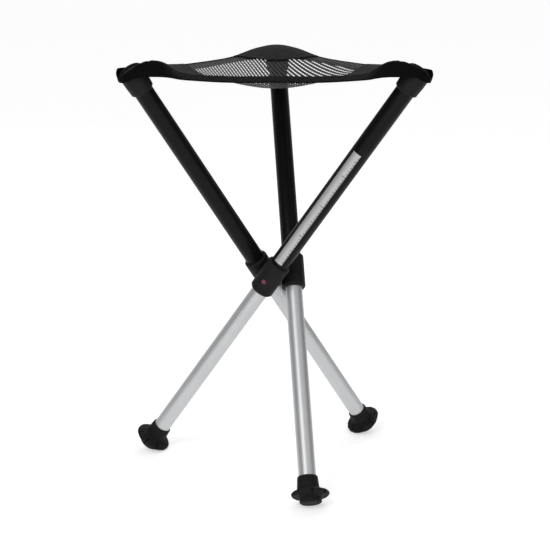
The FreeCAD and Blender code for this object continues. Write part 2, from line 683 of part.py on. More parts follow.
def make_corner_patch(leg):
    """The close cloth that strengthens a corner of the seat, on top of the panel."""
    slab = seat_surface(PATCH_GAP).extrude(Vector(0, 0, PATCH_THICKNESS))
    near = corner_radius - band_radius - PATCH_REACH
    width = 2 * corner_radius
    block = Part.makeBox(corner_radius, width, 2 * seat_level, Vector(near, -width / 2, 0))
    block.rotate(Vector(0, 0, 0), Vector(0, 0, 1), LEG_TURNS[leg] + corner_angle)
    return without_edges(slab.common(plan_prism(panel_outline(SEAT_GAP))).common(block))


def leg_parts(leg):
    """The named parts of one leg, in their places."""
    made = {
        "upper_tube": make_upper_tube(),
        "hub_collar": make_collar(),
        "guide_bush": make_guide_bush(),
        "release_button": make_button(),
        "lower_tube": make_lower_tube(),
        "glide_plug": make_glide_plug(),
        "lock_plunger": make_lock_plunger(),
        "lock_spring": make_lock_spring(),
        "top_cap": make_cap(),
        "corner_sleeve": make_sleeve(),
        "foot_core": make_foot_core(),
        "foot": make_foot(),
    }
    placed = {f"{leg}_{name}": place_on_leg(shape, leg) for name, shape in made.items()}
    placed[f"{leg}_foot"] = cut_at_floor(placed[f"{leg}_foot"])
    return placed


def all_parts():
    """Every part of the stool by name."""
    parts = {
        "hub_core": make_hub_core(),
        "pivot_screws": make_pivot_screws(),
        "pivot_washers": make_pivot_washers(),
        "seat_panel": make_seat_panel(),
    }
    for side in SEAT_SIDES:
        parts[f"{side}_seat_band"] = make_band(side)
    for leg in LEG_TURNS:
        parts.update(leg_parts(leg))
        parts[f"{leg}_corner_patch"] = make_corner_patch(leg)
    parts[f"{LABELLED_LEG}_label"] = place_on_leg(make_label(), LABELLED_LEG)
    return parts


os.makedirs("parts", exist_ok=True)
for name, shape in all_parts().items():
    solids = len(shape.Solids)
    print(f"{name}: {solids} solid(s), {shape.Volume:.0f} mm3, valid {shape.isValid()}")
    shape.exportStep(f"parts/{name}.step")
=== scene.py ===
"""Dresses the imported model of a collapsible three-legged stool: finishes, seat, label marks and studio.

Lengths are in metres and Z is up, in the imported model's own frame. Small sizes are given in millimetres
times MM, as on a cutting plan.
"""

import json
import logging
import math
from dataclasses import dataclass, field
from enum import Enum
from typing import Callable, Iterable, Sequence

import bmesh
import bpy
from mathutils import Matrix, Vector

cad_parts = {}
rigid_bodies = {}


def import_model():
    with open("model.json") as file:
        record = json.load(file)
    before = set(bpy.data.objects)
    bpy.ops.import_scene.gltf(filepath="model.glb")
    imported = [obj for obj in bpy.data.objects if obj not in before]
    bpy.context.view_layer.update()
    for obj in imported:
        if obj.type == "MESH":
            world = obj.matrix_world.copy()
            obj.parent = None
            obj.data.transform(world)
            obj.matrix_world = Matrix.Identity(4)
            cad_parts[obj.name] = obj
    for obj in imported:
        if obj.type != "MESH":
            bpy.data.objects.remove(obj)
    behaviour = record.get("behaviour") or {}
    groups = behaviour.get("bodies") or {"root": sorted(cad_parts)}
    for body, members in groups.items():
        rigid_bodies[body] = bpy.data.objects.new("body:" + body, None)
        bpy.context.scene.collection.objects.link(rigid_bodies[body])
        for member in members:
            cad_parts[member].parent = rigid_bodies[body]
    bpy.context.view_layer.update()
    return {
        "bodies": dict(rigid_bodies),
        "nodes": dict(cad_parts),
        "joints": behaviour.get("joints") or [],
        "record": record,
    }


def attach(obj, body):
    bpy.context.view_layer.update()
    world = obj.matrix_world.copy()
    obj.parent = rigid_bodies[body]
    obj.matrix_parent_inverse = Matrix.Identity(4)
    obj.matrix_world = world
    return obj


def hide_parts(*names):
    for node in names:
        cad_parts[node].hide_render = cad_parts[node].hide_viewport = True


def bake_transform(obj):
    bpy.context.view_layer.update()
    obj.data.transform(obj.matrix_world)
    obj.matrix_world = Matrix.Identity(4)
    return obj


MM = 0.001
FINISH_ENDING = "_finish"

EDGE_SEGMENTS = 3
EDGE_ANGLE = math.radians(50)
SMOOTH_ANGLE = math.radians(40)

log = logging.getLogger("stool")

Piece = bpy.types.Object
Socket = bpy.types.NodeSocket
Place = Callable[[float, float], Vector]


class Leg(Enum):
    """The three legs, named by the corner of the seat that each carries, with their turn about the hub."""

    REAR = 0.0
    LEFT = 120.0
    RIGHT = 240.0

    @property
    def label(self) -> str:
        """The word that the leg's pieces start with."""
        return self.name.lower()


class Side(Enum):
    """The two sides of the seat that meet in a corner, by the way round the hub."""

    AHEAD = 1
    BEHIND = -1


def smooth(value: float, start: float, end: float) -> float:
    """Rises smoothly from 0 at start to 1 at end."""
    t = min(1.0, max(0.0, (value - start) / (end - start)))
    return t * t * (3 - 2 * t)


def polar(radius: float, degrees: float, height: float = 0.0) -> Vector:
    """A point at this radius and azimuth round the hub's axis."""
    angle = math.radians(degrees)
    return Vector((radius * math.cos(angle), radius * math.sin(angle), height))


@dataclass(frozen=True)
class Layout:
    """The hub's height, the legs' offset and their lean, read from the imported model's joints."""

    hub_height: float
    offset: float
    tilt: float

    @classmethod
    def read(cls, joints: Sequence[dict]) -> "Layout":
        """Finds the layout in the rear leg's fold and slide.

        Args:
            joints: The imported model's joints.

        Returns:
            The layout that all three legs share.
        """
        by_name = {joint["name"]: joint for joint in joints}
        pivot = by_name["rear_fold"]["pos_m"]
        way = by_name["rear_slide"]["axis"]
        return cls(hub_height=pivot[2], offset=pivot[0], tilt=math.atan2(way[1], way[2]))

    def point(self, leg: Leg, x: float, y: float, s: float) -> Vector:
        """Where a point in a leg's own frame lies in the stool.

        Args:
            leg: The leg.
            x: Distance from the leg's axis, away from the hub.
            y: Distance from the leg's axis, down and outwards.
            s: Distance along the leg from its pivot, towards the seat.

        Returns:
            The point in the stool's frame.
        """
        across = y * math.cos(self.tilt) + s * math.sin(self.tilt)
        height = self.hub_height - y * math.sin(self.tilt) + s * math.cos(self.tilt)
        return Matrix.Rotation(math.radians(leg.value), 3, "Z") @ Vector((self.offset + x, across, height))

    def direction(self, leg: Leg, x: float, y: float, s: float) -> Vector:
        """A direction in a leg's own frame, in the stool's frame."""
        return self.point(leg, x, y, s) - self.point(leg, 0, 0, 0)


class Sockets:
    """A material's node tree, with short ways to add and join nodes."""

    def __init__(self, name: str) -> None:
        """Starts a material with its surface shader."""
        self.material = bpy.data.materials.new(name)
        self.material.use_nodes = True
        self.tree = self.material.node_tree
        self.shader = self.tree.nodes["Principled BSDF"]

    def node(self, kind: str, **values: object) -> bpy.types.Node:
        """Adds a node and sets its properties or its inputs by name.

        Args:
            kind: The node's type, without the leading ShaderNode.
            values: Properties, or inputs with underscores for spaces.

        Returns:
            The new node.
        """
        made = self.tree.nodes.new("ShaderNode" + kind)
        for key, value in values.items():
            if hasattr(made, key):
                setattr(made, key, value)
            else:
                made.inputs[key.replace("_", " ")].default_value = value
        return made

    def join(self, source: Socket, target: Socket) -> None:
        """Joins an output to an input."""
        self.tree.links.new(source, target)

    def surface(self, **values: object) -> None:
        """Sets constants on the surface shader, by input name with underscores for spaces."""
        for key, value in values.items():
            self.shader.inputs[key.replace("_", " ")].default_value = value

    def place(self, uv: bool, scale: Sequence[float] = (1, 1, 1)) -> Socket:
        """Coordinates for a pattern.

        Args:
            uv: True for the piece's own map, False for its place in metres.
            scale: Stretch of the coordinates on each axis.

        Returns:
            The mapped coordinates.
        """
        source = self.node("TexCoord").outputs["UV" if uv else "Object"]
        mapping = self.node("Mapping")
        mapping.inputs["Scale"].default_value = scale
        self.join(source, mapping.inputs["Vector"])
        return mapping.outputs["Vector"]

    def noise(self, where: Socket, scale: float, detail: float = 3.0) -> Socket:
        """Fine noise over these coordinates."""
        texture = self.node("TexNoise", Scale=scale, Detail=detail)
        self.join(where, texture.inputs["Vector"])
        return texture.outputs["Fac"]

    def ridges(self, where: Socket, pitch: float, direction: str) -> Socket:
        """Even ridges over these coordinates.

        Args:
            where: The coordinates, in metres.
            pitch: Distance from ridge to ridge.
            direction: The axis across the ridges.

        Returns:
            The height, from 0 to 1.
        """
        # A wave texture of scale 1 repeats every pi / 10 units.
        scale = math.pi / (10 * pitch)
        texture = self.node(
            "TexWave", wave_type="BANDS", bands_direction=direction, Scale=scale, Distortion=0.3
        )
        self.join(where, texture.inputs["Vector"])
        return texture.outputs["Fac"]

    def blend(self, kind: str, a: Socket, b: object) -> Socket:
        """Joins two values by a named sum, such as ADD or MULTIPLY."""
        made = self.node("Math", operation=kind)
        self.join(a, made.inputs[0])
        if isinstance(b, (int, float)):
            made.inputs[1].default_value = b
        else:
            self.join(b, made.inputs[1])
        return made.outputs[0]

    def range(self, value: Socket, low: float, high: float) -> Socket:
        """Carries a value from 0..1 to low..high."""
        made = self.node("MapRange")
        made.inputs["To Min"].default_value = low
        made.inputs["To Max"].default_value = high
        self.join(value, made.inputs["Value"])
        return made.outputs["Result"]

    def tint(self, value: Socket, low: Sequence[float], high: Sequence[float]) -> None:
        """Colours the surface between two colours by this value."""
        mix = self.node("MixRGB")
        mix.inputs[1].default_value = (*low, 1)
        mix.inputs[2].default_value = (*high, 1)
        self.join(value, mix.inputs[0])
        self.join(mix.outputs[0], self.shader.inputs["Base Color"])

    def roughen(self, value: Socket, low: float, high: float) -> None:
        """Varies the surface's roughness between two values."""
        self.join(self.range(value, low, high), self.shader.inputs["Roughness"])

    def emboss(self, value: Socket, depth: float) -> None:
        """Raises the surface by this value times a depth in metres."""
        bump = self.node("Bump", Strength=1.0, Distance=depth)
        self.join(value, bump.inputs["Height"])
        self.join(bump.outputs["Normal"], self.shader.inputs["Normal"])


@dataclass(frozen=True)
class Finish:
    """A surface finish: the record's slot it stands for, its two tones and its range of roughness.

    The kinds of finish give the scale of each pattern as a noise scale, where more is finer.
    """

    slot: str
    dark: tuple[float, float, float]
    light: tuple[float, float, float]
    smoothest: float
    roughest: float

    def make(self) -> bpy.types.Material:
        """Builds the finish as a material."""
        sockets = Sockets(self.slot + FINISH_ENDING)
        self.dress(sockets)
        return sockets.material

    def dress(self, sockets: Sockets) -> None:
        """Adds the finish's pattern. Each kind of finish has its own."""
        raise NotImplementedError

    def mark(self, sockets: Sockets, marks: Socket, depth: float) -> None:
        """Lets one pattern carry the tone, the roughness and the relief."""
        sockets.tint(marks, self.dark, self.light)
        sockets.roughen(marks, self.smoothest, self.roughest)
        sockets.emboss(marks, depth)


@dataclass(frozen=True)
class MouldedFinish(Finish):
    """Injection-moulded plastic or rubber: a fine spark-eroded grain and faint handling marks."""

    grain: float = 2600.0
    grain_depth: float = 0.05 * MM
    gloss: float = 0.12
    marks: float = 60.0
    wear: float = 140.0

    def dress(self, sockets: Sockets) -> None:
        """Adds the grain, and broad soft marks to the tone."""
        where = sockets.place(uv=False)
        sockets.tint(sockets.noise(where, self.marks, 4.0), self.dark, self.light)
        sockets.roughen(sockets.noise(where, self.wear), self.smoothest, self.roughest)
        sockets.surface(Specular_IOR_Level=self.gloss)
        sockets.emboss(sockets.noise(where, self.grain, 2.0), self.grain_depth)


@dataclass(frozen=True)
class CoatedTubeFinish(Finish):
    """Black stoving enamel on drawn tube: satin, with a faint ripple and rubbed patches."""

    rubs: float = 35.0
    wear: float = 90.0
    ripple: float = 900.0
    ripple_depth: float = 0.02 * MM

    def dress(self, sockets: Sockets) -> None:
        """Adds the ripple of the coat and the rubbed patches."""
        where = sockets.place(uv=False)
        sockets.tint(sockets.noise(where, self.rubs, 5.0), self.dark, self.light)
        sockets.roughen(sockets.noise(where, self.wear), self.smoothest, self.roughest)
        sockets.surface(Specular_IOR_Level=0.12, Coat_Weight=0.03, Coat_Roughness=0.25)
        sockets.emboss(sockets.noise(where, self.ripple, 2.0), self.ripple_depth)


@dataclass(frozen=True)
class DrawnTubeFinish(Finish):
    """Clear anodised aluminium tube, with the fine lines of drawing along it."""

    metallic: float = 0.62
    line_stretch: float = 0.02
    line_scale: float = 2600.0
    line_depth: float = 0.008 * MM
    cloud: float = 25.0

    def dress(self, sockets: Sockets) -> None:
        """Adds lengthwise lines in the roughness and a slight cloudiness in the tone."""
        where = sockets.place(uv=False)
        drawn = sockets.place(uv=False, scale=(1, 1, self.line_stretch))
        lines = sockets.noise(drawn, self.line_scale, 2.0)
        sockets.tint(sockets.noise(where, self.cloud, 4.0), self.dark, self.light)
        sockets.roughen(lines, self.smoothest, self.roughest)
        sockets.surface(Metallic=self.metallic)
        sockets.emboss(lines, self.line_depth)


@dataclass(frozen=True)
class SteelFinish(Finish):
    """Turned steel with fine tool marks."""

    tooling: float = 1800.0
    depth: float = 0.01 * MM

    def dress(self, sockets: Sockets) -> None:
        """Adds the tool marks."""
        sockets.surface(Metallic=1.0)
        self.mark(sockets, sockets.noise(sockets.place(uv=False), self.tooling, 2.0), self.depth)


@dataclass(frozen=True)
class WovenFinish(Finish):
    """Woven polyester, by the piece's own map: warp and weft, fuzz and uneven dye."""

    warp: float = 0.55 * MM
    weft: float = 0.55 * MM
    depth: float = 0.12 * MM
    sheen: float = 0.02
    fuzz: float = 900.0
    weave_share: float = 0.6

    def dress(self, sockets: Sockets) -> None:
        """Adds the crossed threads and the fuzz."""
        where = sockets.place(uv=True)
        warp = sockets.ridges(where, self.warp, "X")
        weft = sockets.ridges(where, self.weft, "Y")
        weave = sockets.blend("MULTIPLY", warp, weft)
        fuzz = sockets.noise(where, self.fuzz, 4.0)
        threads = sockets.blend("MULTIPLY", weave, self.weave_share)
        fluff = sockets.blend("MULTIPLY", fuzz, 1 - self.weave_share)
        sockets.tint(sockets.blend("ADD", threads, fluff), self.dark, self.light)
        sockets.roughen(fuzz, self.smoothest, self.roughest)
        sockets.surface(Sheen_Weight=self.sheen, Sheen_Roughness=0.5, Specular_IOR_Level=0.05)
        sockets.emboss(weave, self.depth)


@dataclass(frozen=True)
class CoatedNetFinish(Finish):
    """Net of thick coated yarn: a slight plastic gloss with uneven coating."""

    lumps: float = 700.0
    depth: float = 0.15 * MM

    def dress(self, sockets: Sockets) -> None:
        """Adds the lumps of the coating."""
        sockets.surface(Specular_IOR_Level=0.1)
        self.mark(sockets, sockets.noise(sockets.place(uv=False), self.lumps), self.depth)


@dataclass(frozen=True)
class FoilFinish(Finish):
    """Matt silver foil with faint creases."""

    creases: float = 180.0
    depth: float = 0.05 * MM

    def dress(self, sockets: Sockets) -> None:
        """Adds the creases and a little dirt."""
        sockets.surface(Metallic=0.35)
        self.mark(sockets, sockets.noise(sockets.place(uv=False), self.creases, 6.0), self.depth)


FINISHES: tuple[Finish, ...] = (
    MouldedFinish("hub_plastic", (0.008, 0.008, 0.009), (0.014, 0.014, 0.015), 0.45, 0.6),
    MouldedFinish("washer_plastic", (0.03, 0.03, 0.032), (0.05, 0.05, 0.052), 0.4, 0.5),
    MouldedFinish("black_plastic", (0.011, 0.011, 0.012), (0.022, 0.022, 0.024), 0.42, 0.6),
    MouldedFinish(
        "foot_rubber", (0.009, 0.009, 0.009), (0.016, 0.016, 0.016), 0.55, 0.75,
        grain=1500.0, grain_depth=0.08 * MM, gloss=0.15,
    ),
    MouldedFinish(
        "red_button", (0.15, 0.03, 0.045), (0.22, 0.06, 0.08), 0.25, 0.35,
        grain=3000.0, grain_depth=0.01 * MM, gloss=0.4,
    ),
    CoatedTubeFinish("black_tube", (0.004, 0.004, 0.0045), (0.008, 0.008, 0.0085), 0.34, 0.46),
    DrawnTubeFinish("bare_tube", (0.64, 0.65, 0.66), (0.71, 0.72, 0.73), 0.40, 0.50),
    SteelFinish("steel", (0.45, 0.45, 0.46), (0.6, 0.6, 0.61), 0.25, 0.4),
    CoatedNetFinish("seat_mesh", (0.012, 0.012, 0.013), (0.026, 0.026, 0.028), 0.45, 0.6),
    WovenFinish("seat_cloth", (0.008, 0.008, 0.0085), (0.017, 0.017, 0.018), 0.6, 0.85),
    WovenFinish(
        "webbing", (0.003, 0.003, 0.0032), (0.007, 0.007, 0.0075), 0.6, 0.8,
        warp=1.4 * MM, weft=0.5 * MM, depth=0.2 * MM, sheen=0.0,
    ),
    FoilFinish("foil_label", (0.56, 0.56, 0.57), (0.66, 0.66, 0.67), 0.35, 0.5),
)


def deselect() -> None:
    """Leaves edit mode with nothing selected."""
    if bpy.context.object and bpy.context.object.mode != "OBJECT":
        bpy.ops.object.mode_set(mode="OBJECT")
    bpy.ops.object.select_all(action="DESELECT")


def pick(piece: Piece) -> None:
    """Selects one piece alone and makes it active."""
    deselect()
    piece.select_set(True)
    bpy.context.view_layer.objects.active = piece


def keep_modifiers(piece: Piece) -> None:
    """Applies a piece's modifiers in order."""
    pick(piece)
    for modifier in list(piece.modifiers):
        bpy.ops.object.modifier_apply(modifier=modifier.name)


def thicken(piece: Piece, thickness: float, rounding: float = 0.0, offset: float = 0.0) -> None:
    """Gives a sheet its thickness, and rounds its edges.

    Args:
        piece: The sheet.
        thickness: Its thickness.
        rounding: Radius of the rounded edges, or 0 for none.
        offset: Which way it grows: -1 against the normals, 1 with them, 0 both.
    """
    wall = piece.modifiers.new("Wall", "SOLIDIFY")
    wall.thickness = thickness
    wall.offset = offset
    if rounding:
        round_edge = piece.modifiers.new("Round edge", "BEVEL")
        round_edge.width = rounding
        round_edge.segments = EDGE_SEGMENTS
        round_edge.limit_method = "ANGLE"
        round_edge.angle_limit = EDGE_ANGLE
    keep_modifiers(piece)


def shade(piece: Piece) -> None:
    """Shades a piece smooth, apart from its sharp edges."""
    pick(piece)
    bpy.ops.object.shade_smooth_by_angle(angle=SMOOTH_ANGLE)


def cloth_grid(name: str, columns: int, rows: int, place: Place) -> Piece:
    """Adds a flat grid and lays it over a surface.

    Args:
        name: The piece's name.
        columns: Cells along u.
        rows: Cells along v.
        place: Where the point (u, v), each from 0 to 1, lies.

    Returns:
        The sheet, with a map in metres.
    """
    deselect()
    bpy.ops.mesh.primitive_grid_add(x_subdivisions=columns, y_subdivisions=rows, size=1, location=(0, 0, 0))
    piece = bpy.context.object
    piece.name = name
    piece.data.name = name
    steps = 8
    length = sum((place((i + 1) / steps, 0.5) - place(i / steps, 0.5)).length for i in range(steps))
    width = sum((place(0.5, (i + 1) / steps) - place(0.5, i / steps)).length for i in range(steps))
    for corner in piece.data.uv_layers.active.data:
        corner.uv = (corner.uv[0] * length, corner.uv[1] * width)
    for vertex in piece.data.vertices:
        vertex.co = place(vertex.co.x + 0.5, vertex.co.y + 0.5)
    return piece


def joined(name: str, pieces: Sequence[Piece]) -> Piece:
    """Joins several pieces into one under a name."""
    pick(pieces[0])
    for piece in pieces[1:]:
        piece.select_set(True)
    bpy.ops.object.join()
    pieces[0].name = name
    pieces[0].data.name = name
    return pieces[0]


def dress(piece: Piece, material: bpy.types.Material) -> None:
    """Gives a new piece one material."""
    piece.data.materials.clear()
    piece.data.materials.append(material)


@dataclass
class Curve:
    """A smooth line through points, by share of its length."""

    points: list[Vector]
    marks: list[float] = field(default_factory=list)

    def __post_init__(self) -> None:
        """Measures the line."""
        self.marks = [0.0]
        for a, b in zip(self.points, self.points[1:]):
            self.marks.append(self.marks[-1] + (b - a).length)

    def at(self, share: float) -> Vector:
        """The point at this share of the length, on a curve that passes through every point."""
        target = share * self.marks[-1]
        last = len(self.marks) - 2
        index = next((i for i in range(last) if target < self.marks[i + 1]), last)
        span = self.marks[index + 1] - self.marks[index]
        t = (target - self.marks[index]) / span
        a, b = self.points[index], self.points[index + 1]
        before = self.slope(index) * span
        after = self.slope(index + 1) * span
        return (
            a * (2 * t ** 3 - 3 * t ** 2 + 1)
            + before * (t ** 3 - 2 * t ** 2 + t)
            + b * (3 * t ** 2 - 2 * t ** 3)
            + after * (t ** 3 - t ** 2)
        )

    def slope(self, index: int) -> Vector:
        """The line's direction per length at one of its points."""
        low, high = max(index - 1, 0), min(index + 1, len(self.points) - 1)
        return (self.points[high] - self.points[low]) / (self.marks[high] - self.marks[low])


Seam = tuple[Curve, Callable[[float], Vector]]


@dataclass(frozen=True)
class Edge:
    """How the webbing lies along one side of the seat.

    Its slope from level, in degrees, and its lower edge's drop under the seat's level go from one value in
    the side's middle to another at its ends. Each changes between two shares of the way from the middle to
    an end: twist for the slope, and rise for the drop.
    """

    name: str
    turn: float
    slopes: tuple[float, float]
    twist: tuple[float, float]
    drops: tuple[float, float]
    rise: tuple[float, float]


EDGES: tuple[Edge, ...] = (
    Edge("front", 180.0, (16.0, 90.0), (0.72, 1.0), (16.5 * MM, 10 * MM), (0.54, 0.88)),
    Edge("right", 300.0, (32.0, 60.0), (0.31, 1.0), (15.5 * MM, 18 * MM), (0.3, 1.0)),
    Edge("left", 60.0, (32.0, 60.0), (0.31, 1.0), (15.5 * MM, 18 * MM), (0.3, 1.0)),
)


@dataclass
class SeatPlan:
    """The seat's shape: hanging cloth, webbing along the sides, and where corners turn with their legs."""

    layout: Layout
    corner_at: float = 347 * MM
    level_at: float = 354 * MM
    wrap_at: float = 345 * MM
    wrap_lean: float = 0.28
    cap_end_at: float = 350 * MM
    cap_radius: float = 16.1 * MM
    cap_shoulder: float = 5.5 * MM
    hood_gap: float = 0.25 * MM
    hood_thickness: float = 1.1 * MM
    band_gap: float = 0.3 * MM
    band_width: float = 19 * MM
    wrap_width: float = 11 * MM
    tip_width: float = 6.5 * MM
    band_thickness: float = 1.7 * MM
    rear_lift: float = 3.5 * MM
    bow: float = 4 * MM
    belly_reach: float = 102 * MM
    belly_sag: float = 27 * MM
    belly_fall: float = 1.8
    softness: float = 4 * MM
    patch_reach: float = 82 * MM
    turn_from: float = 0.3
    turn_to: float = 0.9

    def __post_init__(self) -> None:
        """Works out the places that follow from the sizes."""
        lean = self.corner_at * math.sin(self.layout.tilt)
        self.corner_radius = math.hypot(self.layout.offset, lean)
        self.corner_angle = math.degrees(math.atan2(lean, self.layout.offset))
        self.seat_level = self.layout.hub_height + self.level_at * math.cos(self.layout.tilt)
        self.hood_radius = self.cap_radius + self.hood_gap + self.hood_thickness
        self.band_radius = self.hood_radius + self.band_gap + self.band_thickness / 2
        self.reach = self.corner_radius / 2 + self.band_radius
        self.straight_half = self.corner_radius * math.sin(math.radians(60)) - self.band_radius

    def azimuth(self, leg: Leg) -> float:
        """The azimuth of a leg's corner, in degrees."""
        return leg.value + self.corner_angle

    def ways(self, leg: Leg, side: Side) -> tuple[Vector, Vector]:
        """The outward direction of one of a corner's sides, and the direction along it to the corner."""
        outward = polar(1, self.azimuth(leg) + 60 * side.value)
        return outward, polar(1, self.azimuth(leg) - 30 * side.value)

    def edge(self, leg: Leg, side: Side) -> Edge:
        """The seat's side that runs to a corner on one of the corner's sides."""
        turn = (leg.value + 60 * side.value) % 360
        return next(edge for edge in EDGES if edge.turn == turn)

    def station(self, leg: Leg, side: Side, t: float) -> tuple[Vector, Vector, Vector]:
        """The webbing t along a side from its middle towards a corner.

        Args:
            leg: The corner's leg.
            side: Which of the corner's two sides.
            t: Distance from the side's middle.

        Returns:
            The lower edge's point, the upper edge's point, and the direction outwards.
        """
        outward, along = self.ways(leg, side)
        edge = self.edge(leg, side)
        share = t / self.straight_half
        climb = smooth(share, 0, 1)
        slope = math.radians(edge.slopes[0] + (edge.slopes[1] - edge.slopes[0]) * smooth(share, *edge.twist))
        drop = edge.drops[0] + (edge.drops[1] - edge.drops[0]) * smooth(share, *edge.rise)
        if leg is Leg.REAR:
            drop -= self.rear_lift * climb
        low = outward * (self.reach - self.bow * (1 - climb)) + along * t
        low.z = self.seat_level - drop
        width_way = outward * -math.cos(slope) + Vector((0, 0, math.sin(slope)))
        return low, low + width_way * self.band_width, outward

    def edges_near(self, x: float, y: float) -> list[tuple[float, float, Vector]]:
        """The webbing's inner edges as seen from a plan point.

        Returns:
            For each side, how far inside its inner edge the point is, the edge's height, and the way out.
        """
        found = []
        point = Vector((x, y, 0))
        for leg in Leg:
            for side in Side:
                along = self.ways(leg, side)[1]
                t = point.dot(along)
                if t > 0 or (t == 0 and side is Side.AHEAD):
                    upper, outward = self.station(leg, side, t)[1:]
                    found.append((upper.dot(outward) - point.dot(outward), upper.z, outward))
        return found

    def height(self, x: float, y: float) -> float:
        """Height of the cloth over a plan point: level with the webbing's inner edges, slack between."""
        level = total = 0.0
        slack = 1.0
        for inside, height, outward in self.edges_near(x, y):
            weight = 1 / max(inside, self.softness) ** 2
            level += weight * height
            total += weight
            slack *= max(0.0, 1 - (outward.x * x + outward.y * y) / self.belly_reach)
        return level / total - self.belly_sag * slack ** self.belly_fall

    def sew_on(self, piece: Piece, leg: Leg) -> None:
        """Bakes a piece of cloth's place into its mesh, and logs its number of faces."""
        start = polar(self.corner_radius * self.turn_from, self.azimuth(leg), self.seat_level)
        end = polar(self.corner_radius * self.turn_to, self.azimuth(leg), self.seat_level)
        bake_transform(piece)
        log.info("%s: %d faces", piece.name, len(piece.data.polygons))


@dataclass
class SeatCorner:
    """One corner of the seat: hood, webbing halves, corner patch and their seams."""

    plan: SeatPlan
    leg: Leg
    finishes: dict[str, bpy.types.Material]
    wrap_steps: int = 6
    twist_steps: int = 5
    band_columns: int = 72
    band_rows: int = 6
    band_rounding: float = 0.5 * MM
    edge_margin: float = 2.2 * MM
    stitch_pitch: float = 3.4 * MM
    stitch_length: float = 2.4 * MM
    stitch_radius: float = 0.28 * MM
    seam_steps: int = 60
    hood_columns: int = 48
    hood_rows: int = 16
    hood_bend: float = 0.7
    hood_rounding: float = 0.3 * MM
    hood_depth: float = 4 * MM
    opening_radius: float = 6.5 * MM
    opening_stretch: float = 8 * MM
    edge_clearance: float = 0.3 * MM
    patch_rows: int = 40
    patch_columns: int = 32
    patch_end_gap: float = 1 * MM
    patch_widest: float = 120 * MM
    patch_rounding: float = 0.2 * MM
    patch_thickness: float = 0.8 * MM
    patch_lift: float = 0.45 * MM
    rear_crown: float = 3 * MM
    crown_span: tuple[float, float] = (0.2, 0.9)

    def name(self, piece: str) -> str:
        """A piece's name with its leg's word before it."""
        return f"{self.leg.label}_{piece}"

    def band_edges(self, side: Side) -> tuple[Curve, Curve]:
        """The lower and the upper edge of a half of webbing, from the side's middle to the corner's tip."""
        plan, layout = self.plan, self.plan.layout
        outward = plan.ways(self.leg, side)[0]
        edge = plan.edge(self.leg, side)
        lower, upper = [], []
        start, end = edge.twist
        steps = range(self.twist_steps + 1)
        shares = [0, start / 2] + [start + (end - start) * i / self.twist_steps for i in steps]
        if end < 1:
            shares.append(1)
        for share in shares:
            low, high, _ = plan.station(self.leg, side, share * plan.straight_half)
            lower.append(low)
            upper.append(high)
        face_x = outward.dot(layout.direction(self.leg, 1, 0, 0))
        face_y = outward.dot(layout.direction(self.leg, 0, 1, 0))
        wrap = math.atan2(face_x, face_y)
        for step in range(self.wrap_steps, -1, -1):
            share = step / self.wrap_steps
            x = plan.band_radius * math.sin(wrap * share)
            y = plan.band_radius * math.cos(wrap * share)
            width = plan.tip_width + (plan.wrap_width - plan.tip_width) * smooth(share, 0, 1)
            nearer = 1 - plan.wrap_lean * width / plan.band_radius
            lower.append(layout.point(self.leg, x, y, plan.wrap_at))
            upper.append(layout.point(self.leg, x * nearer, y * nearer, plan.wrap_at + width))
        return Curve(lower), Curve(upper)

    def band(self, side: Side) -> Piece:
        """One half of a side's webbing."""
        lower, upper = self.band_edges(side)

        def place(u: float, v: float) -> Vector:
            """The webbing's point: u along it, v from its lower to its upper edge."""
            return lower.at(u).lerp(upper.at(u), v)

        name = self.name(f"webbing_{side.name.lower()}")
        piece = cloth_grid(name, self.band_columns, self.band_rows, place)
        thicken(piece, self.plan.band_thickness, rounding=self.band_rounding)
        shade(piece)
        dress(piece, self.finishes["webbing"])
        return piece

    def stitches(self, name: str, lines: Sequence[Seam]) -> Piece:
        """Rows of stitches along lines on the cloth.

        Args:
            name: The piece's name.
            lines: Each line, with the cloth's outward direction at a share of its length.

        Returns:
            All stitches as one piece.
        """
        deselect()
        bpy.ops.mesh.primitive_uv_sphere_add(segments=6, ring_count=4, radius=self.stitch_radius)
        bead = bpy.context.object
        template = [v.co.copy() for v in bead.data.vertices]
        faces = [tuple(p.vertices) for p in bead.data.polygons]
        bpy.data.objects.remove(bead)
        vertices, polygons = [], []
        stretch = self.stitch_length / self.stitch_radius / 2
        probe = 0.005
        for line, facing in lines:
            count = max(2, int(line.marks[-1] / self.stitch_pitch))
            for index in range(count):
                share = (index + 0.5) / count
                middle = line.at(share)
                way = (line.at(min(1, share + probe)) - line.at(max(0, share - probe))).normalized()
                out = facing(share).normalized()
                third = way.cross(out)
                base = len(vertices)
                vertices += [middle + way * (c.z * stretch) + out * c.x + third * c.y for c in template]
                polygons += [tuple(i + base for i in face) for face in faces]
        mesh = bpy.data.meshes.new(name)
        mesh.from_pydata([tuple(v) for v in vertices], [], polygons)
        piece = bpy.data.objects.new(name, mesh)
        bpy.context.scene.collection.objects.link(piece)
        shade(piece)
        dress(piece, self.finishes["seat_cloth"])
        return piece

    def band_stitches(self, side: Side) -> Piece:
        """The two rows of stitches along a half of webbing, on its outer face."""
        lower, upper = self.band_edges(side)
        plan = self.plan
        margin = self.edge_margin / plan.band_width
        probe = 0.01

        def facing(share: float) -> Vector:
            """The way out of the webbing's outer face at this share of its length."""
            width_way = upper.at(share) - lower.at(share)
            along = lower.at(min(1, share + probe)) - lower.at(max(0, share - probe))
            return along.cross(width_way) * side.value

        rows = []
        for v in (margin, 1 - margin):
            spine = []
            for step in range(self.seam_steps + 1):
                share = step / self.seam_steps
                out = facing(share).normalized() * (plan.band_thickness / 2)
                spine.append(lower.at(share).lerp(upper.at(share), v) + out)
            rows.append((Curve(spine), facing))
        return self.stitches(self.name(f"webbing_seam_{side.name.lower()}"), rows)

